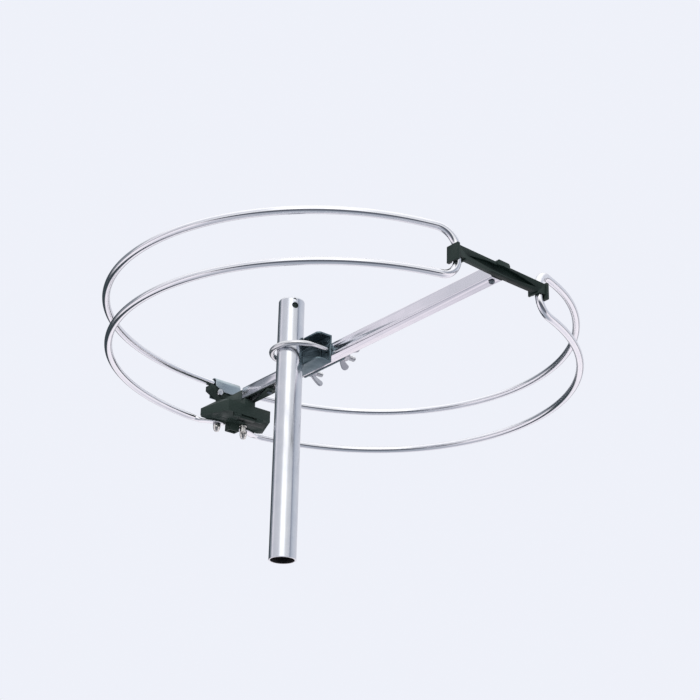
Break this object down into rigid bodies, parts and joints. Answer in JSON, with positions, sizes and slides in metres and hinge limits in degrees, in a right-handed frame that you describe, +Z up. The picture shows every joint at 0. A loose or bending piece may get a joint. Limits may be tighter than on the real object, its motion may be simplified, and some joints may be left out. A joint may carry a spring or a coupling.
{
  "type": "ring dipole antenna",
  "caption": "Outdoor broadcast radio antenna: a folded dipole bent into a ring on a square boom, with a feed box, a gap insulator and a toothed clamp on a short tubular mast.",
  "frame": {"origin": "centre of the mast's cut foot", "axes": "+Z up along the mast, +X along the boom towards the open gap of the ring, +Y across the boom"},
  "size_m": [0.482, 0.5331, 0.2949],
  "materials": {
    "mast": "galvanised",
    "boom": "satin extrusion",
    "dipole": "polished",
    "plastic": "moulded, fine grain",
    "bracket": "dark zinc plate",
    "u_bolt": "bright zinc plate",
    "wing_nut": "zinc, cast",
    "washer": "zinc plate",
    "dark_screw": "dark zinc plate",
    "zinc_fixings": "zinc plate",
    "strap": "zinc plate",
    "nickel": "nickel plate",
    "insulator": "natural",
    "copper": "bare copper",
    "board": "laminate",
    "ferrite": "sintered"
  },
  "bodies": {
    "mast": {"mast_tube": "mast", "mast_plug": "plastic"},
    "head": {"boom_tube": "boom", "folded_dipole": "dipole", "gap_insulator": "plastic", "feed_box_body": "plastic", "toothed_bracket": "bracket", "backing_plate": "bracket", "washer_near": "washer", "washer_far": "washer", "terminal_washer_near": "washer", "terminal_washer_far": "washer", "insulator_screw": "dark_screw", "tongue_screw": "dark_screw", "strap_bolt_near": "zinc_fixings", "strap_bolt_far": "zinc_fixings", "strap_nut_near": "zinc_fixings", "strap_nut_far": "zinc_fixings", "terminal_bolt_near": "zinc_fixings", "terminal_bolt_far": "zinc_fixings", "cover_hinge_pin": "zinc_fixings", "board_screw_near": "zinc_fixings", "board_screw_far": "zinc_fixings", "conductor_strap": "strap", "terminal_nut_near": "nickel", "terminal_nut_far": "nickel", "coax_socket": "nickel", "socket_lock_nut": "nickel", "socket_insulator": "insulator", "socket_contact": "copper", "balun_winding": "copper", "feed_lead_near": "copper", "feed_lead_far": "copper", "balun_board": "board", "balun_core": "ferrite"},
    "u_bolt": {"u_bolt": "u_bolt"},
    "wing_nut_near": {"wing_nut_near": "wing_nut"},
    "wing_nut_far": {"wing_nut_far": "wing_nut"},
    "cover": {"feed_box_cover": "plastic"}
  },
  "joints": [
    {"name": "head_swivel", "type": "hinge", "parent": "mast", "child": "head", "pos_m": [0, 0, 0.235], "axis": [0, 0, 1], "continuous": true},
    {"name": "u_bolt_release", "type": "slide", "parent": "head", "child": "u_bolt", "axis": [0, -1, 0], "range_m": [0, 0.006]},
    {"name": "wing_nut_near_turn", "type": "hinge", "parent": "head", "child": "wing_nut_near", "pos_m": [0.0288, 0.0498, 0.235], "axis": [0, 1, 0], "range_deg": [0, 2165]},
    {"name": "wing_nut_far_turn", "type": "hinge", "parent": "head", "child": "wing_nut_far", "pos_m": [-0.0288, 0.0498, 0.235], "axis": [0, 1, 0], "range_deg": [0, 2165]},
    {"name": "cover_hinge", "type": "hinge", "parent": "head", "child": "cover", "pos_m": [-0.1296, 0.0383, 0.2045], "axis": [0, -1, 0], "range_deg": [0, 100]}
  ],
  "couplings": [
    {"joint": "wing_nut_near_turn", "follows": "u_bolt_release", "rad_per_m": 6283.2},
    {"joint": "wing_nut_far_turn", "follows": "u_bolt_release", "rad_per_m": 6283.2}
  ]
}
